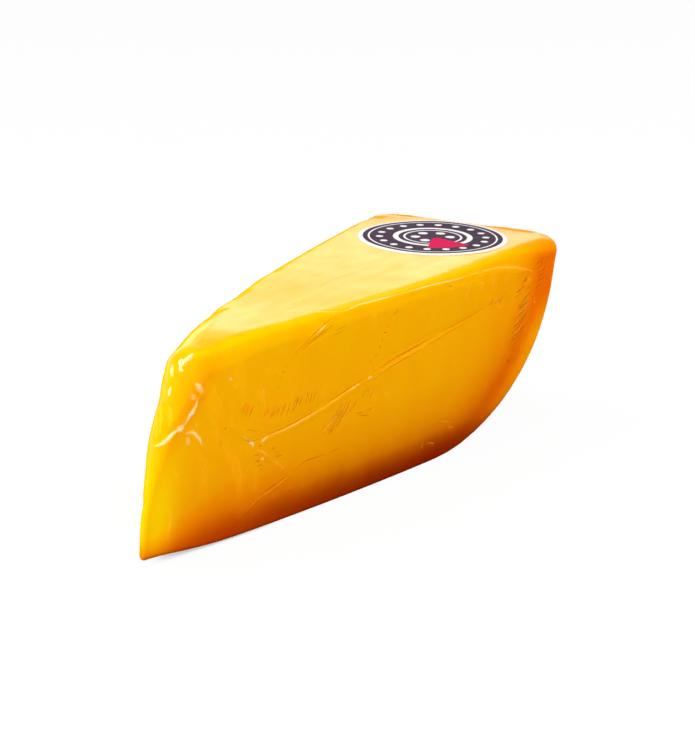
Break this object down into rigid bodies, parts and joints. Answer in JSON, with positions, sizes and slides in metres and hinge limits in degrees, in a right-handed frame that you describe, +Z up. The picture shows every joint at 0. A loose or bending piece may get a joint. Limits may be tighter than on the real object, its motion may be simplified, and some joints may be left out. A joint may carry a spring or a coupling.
{
  "type": "wedge of aged gouda cheese",
  "caption": "Slim wedge of aged gouda cut from a wheel, vacuum-packed in a skin-tight clear film, with a small round label on its flat top.",
  "frame": {"origin": "middle of the footprint's box, on the surface that the wedge stands on", "axes": "+X from the nose, the wheel's centre, out to the rim; +Z up, from the flat rind face to the flat cut top; the cut faces look towards -Y and +Y"},
  "size_m": [0.1702, 0.0566, 0.048],
  "materials": {
    "filmed_cheese": "smooth yellow-orange cheese under a tight glossy film, darker towards the rind",
    "clear_film": "clear glossy vacuum film with fine creases",
    "label": "satin printed paper, dark plum with a white rim"
  },
  "bodies": {
    "root": {"cheese_wedge": "filmed_cheese", "label": "label"}
  },
  "joints": []
}
